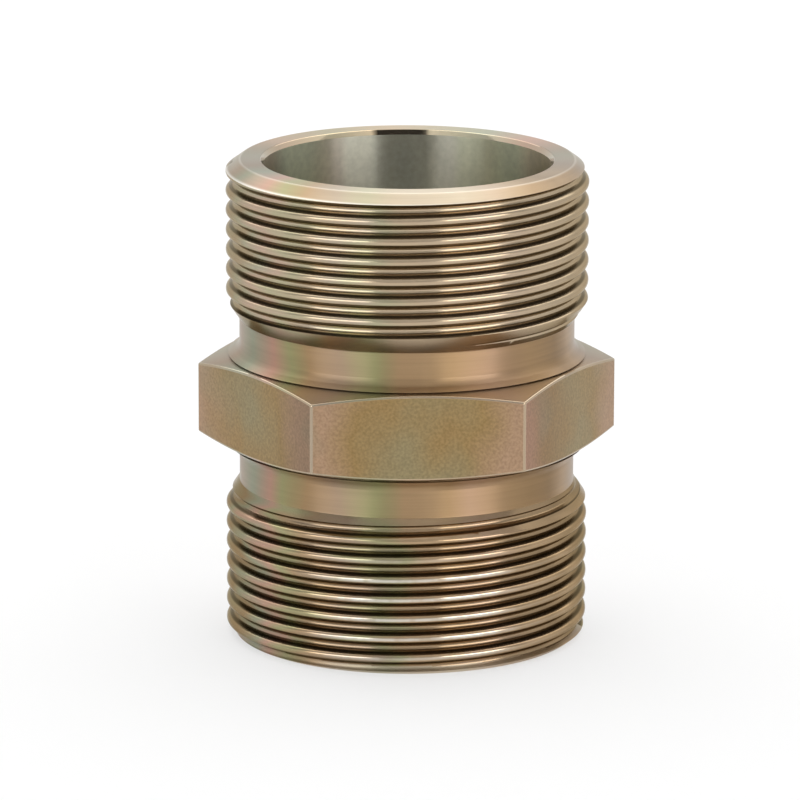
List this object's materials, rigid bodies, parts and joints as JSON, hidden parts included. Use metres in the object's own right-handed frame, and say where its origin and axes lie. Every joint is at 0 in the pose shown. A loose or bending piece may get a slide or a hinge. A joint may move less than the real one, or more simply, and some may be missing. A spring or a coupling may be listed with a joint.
{
  "type": "double pipe nipple",
  "caption": "Straight nipple turned from hexagon bar, with an external parallel pipe thread on both ends, plain necks, a spanner hexagon in the middle and a through bore.",
  "frame": {"origin": "centre of the lower end face, on the axis of the bore", "axes": "+Z along the bore from the lower end to the upper end, +X to a corner of the hexagon, +Y square to a flat of the hexagon"},
  "size_m": [0.0484, 0.042, 0.056],
  "materials": {
    "plated_steel": "turned steel, zinc plated with a yellow iridescent passivation, satin with fine turning marks"
  },
  "bodies": {
    "root": {"nipple_body": "plated_steel"}
  },
  "joints": []
}
